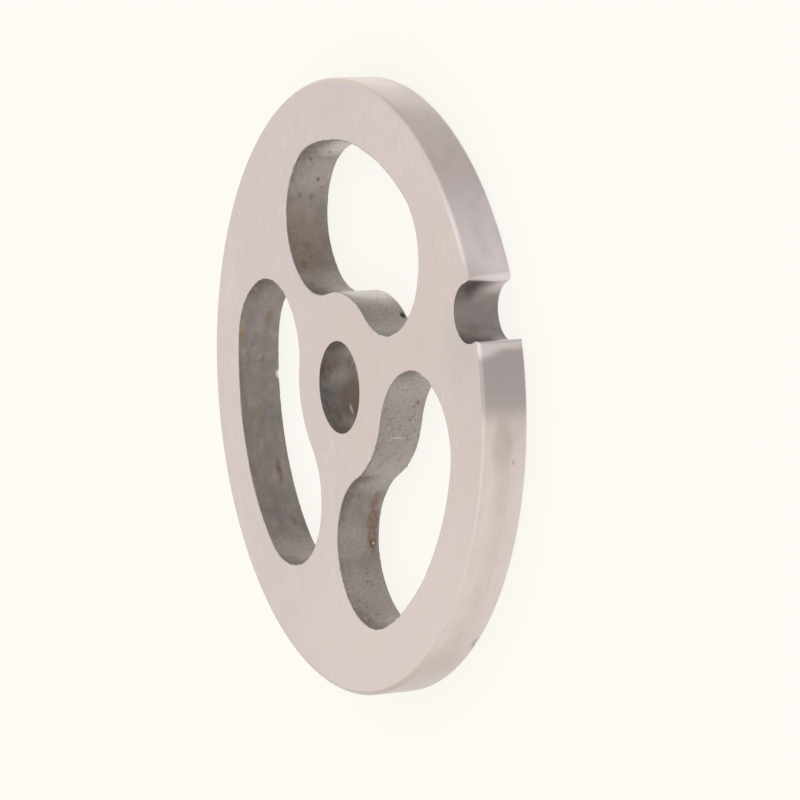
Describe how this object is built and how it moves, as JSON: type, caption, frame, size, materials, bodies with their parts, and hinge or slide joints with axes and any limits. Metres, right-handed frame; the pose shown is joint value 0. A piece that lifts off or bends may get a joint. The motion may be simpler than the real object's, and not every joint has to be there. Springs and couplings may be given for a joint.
{
  "type": "meat grinder kidney plate",
  "caption": "Flat round meat grinder plate with a centre bore, kidney-shaped slots and a locating notch in the rim.",
  "frame": {"origin": "on the axis of the bore, in the plane of the back face that the plate lies on", "axes": "+Z along the bore, towards the face the knife sweeps; +X through the middle of the rim notch"},
  "size_m": [0.0618, 0.062, 0.0047],
  "materials": {
    "plate_steel": "ground faces and turned rim, cast slot walls with light rust"
  },
  "bodies": {
    "root": {"kidney_plate": "plate_steel"}
  },
  "joints": []
}
